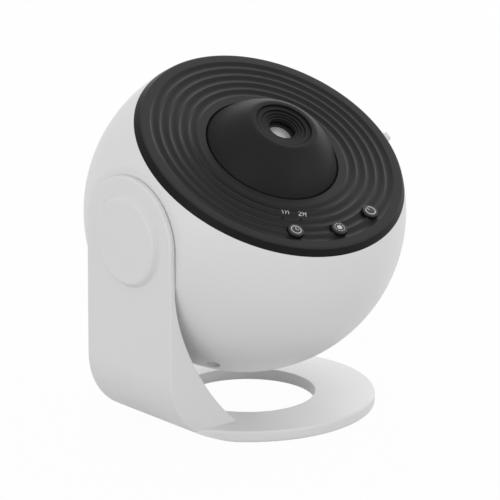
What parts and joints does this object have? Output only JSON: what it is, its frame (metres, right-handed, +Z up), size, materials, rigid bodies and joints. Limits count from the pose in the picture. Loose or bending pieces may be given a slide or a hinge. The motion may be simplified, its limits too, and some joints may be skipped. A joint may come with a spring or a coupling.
{
  "type": "planetarium projector",
  "caption": "Ball-shaped star projector with a rippled dark panel and focusing cone, tilting on a one-armed stand with a ring foot.",
  "frame": {"origin": "on the floor, at the bottom centre of the whole part's bounding box", "axes": "+Z up; the buttons and the leaning panel face -Y; the arm stands at -X"},
  "size_m": [0.138, 0.14, 0.1493],
  "materials": {
    "shell_white": "fine satin moulded white",
    "cover_white": "satin moulded white",
    "panel_black": "semi-gloss moulded charcoal",
    "cone_black": "semi-gloss moulded black",
    "button_black": "semi-gloss moulded charcoal",
    "inner_black": "matt moulded black",
    "acetal_white": "natural acetal",
    "light_rod": "clear moulded acrylic",
    "lens_glass": "polished optical lens",
    "film_plate": "printed clear film plate",
    "steel": "zinc-plated steel",
    "socket_steel": "nickel-plated steel shell",
    "aluminium": "plain extruded aluminium",
    "motor_steel": "drawn steel can",
    "rubber_grey": "soft grey pad",
    "board_green": "solder-masked laminate",
    "board_white": "white solder-masked metal-core laminate",
    "component_black": "moulded component cases",
    "emitter": "ceramic emitter with clear dome"
  },
  "bodies": {
    "stand": {"stand_frame": "shell_white", "base_cover": "cover_white", "base_screws": "steel", "rubber_feet": "rubber_grey", "arm_cap": "shell_white", "pivot_screw": "steel", "pivot_flange": "acetal_white", "glide_washer": "acetal_white", "spring_washer": "steel"},
    "head": {"rear_shell": "shell_white", "closing_screws": "steel", "front_panel": "panel_black", "chassis_screws": "steel", "sleeve_screws": "steel", "control_screws": "steel", "focus_sleeve": "inner_black", "light_chassis": "inner_black", "carrier_keepers": "inner_black", "condenser_lens": "lens_glass", "condenser_ring": "steel", "led_board": "board_white", "led_emitter": "emitter", "heat_sink": "aluminium", "heat_sink_screws": "steel", "film_motor": "motor_steel", "motor_screws": "steel", "control_board": "board_green", "tact_switches": "component_black", "timer_leds": "emitter", "light_pipes": "light_rod", "slide_switch": "component_black", "main_board": "board_green", "board_screws": "steel", "power_socket": "socket_steel", "board_parts": "component_black"},
    "focus_cone": {"focus_cone": "cone_black"},
    "lens_barrel": {"lens_barrel": "inner_black", "cam_pins": "steel", "front_lens": "lens_glass", "lens_spacer": "inner_black", "rear_lens": "lens_glass", "lens_retainer": "inner_black"},
    "film_rotor": {"film_carrier": "acetal_white", "film_disc": "film_plate", "film_clip": "inner_black"},
    "motor_pinion": {"motor_pinion": "acetal_white", "motor_shaft": "steel"},
    "timer_button": {"timer_button": "button_black", "timer_plunger": "component_black"},
    "light_button": {"light_button": "button_black", "light_plunger": "component_black"},
    "power_button": {"power_button": "button_black", "power_plunger": "component_black"},
    "rotation_switch": {"switch_slider": "shell_white"}
  },
  "joints": [
    {"name": "head_tilt", "type": "hinge", "parent": "stand", "child": "head", "pos_m": [-0.00095, 0, 0.0881], "axis": [1, 0, 0], "range_deg": [-120, 60]},
    {"name": "focus_turn", "type": "hinge", "parent": "head", "child": "focus_cone", "pos_m": [-0.00095, 0, 0.0881], "axis": [0, -0.5, 0.866], "range_deg": [-45, 45]},
    {"name": "focus_slide", "type": "slide", "parent": "focus_cone", "child": "lens_barrel", "axis": [0, -0.5, 0.866], "range_m": [-0.0014, 0.0014]},
    {"name": "film_spin", "type": "hinge", "parent": "head", "child": "film_rotor", "pos_m": [-0.00095, 0, 0.0881], "axis": [0, -0.5, 0.866], "continuous": true},
    {"name": "motor_spin", "type": "hinge", "parent": "head", "child": "motor_pinion", "pos_m": [-0.00095, 0.02598, 0.1031], "axis": [0, -0.5, 0.866], "continuous": true},
    {"name": "timer_press", "type": "slide", "parent": "head", "child": "timer_button", "axis": [0, 0.5, -0.866], "range_m": [0, 0.0007], "stiffness_N_per_m": 1000, "springref_m": -0.0005},
    {"name": "light_press", "type": "slide", "parent": "head", "child": "light_button", "axis": [0, 0.5, -0.866], "range_m": [0, 0.0007], "stiffness_N_per_m": 1000, "springref_m": -0.0005},
    {"name": "power_press", "type": "slide", "parent": "head", "child": "power_button", "axis": [0, 0.5, -0.866], "range_m": [0, 0.0007], "stiffness_N_per_m": 1000, "springref_m": -0.0005},
    {"name": "rotation_switch_slide", "type": "slide", "parent": "head", "child": "rotation_switch", "axis": [0, 0.866, 0.5], "range_m": [0, 0.004]}
  ],
  "couplings": [
    {"joint": "focus_slide", "follows": "focus_turn", "m_per_rad": 0.0017825},
    {"joint": "motor_spin", "follows": "film_spin", "ratio": -4}
  ]
}
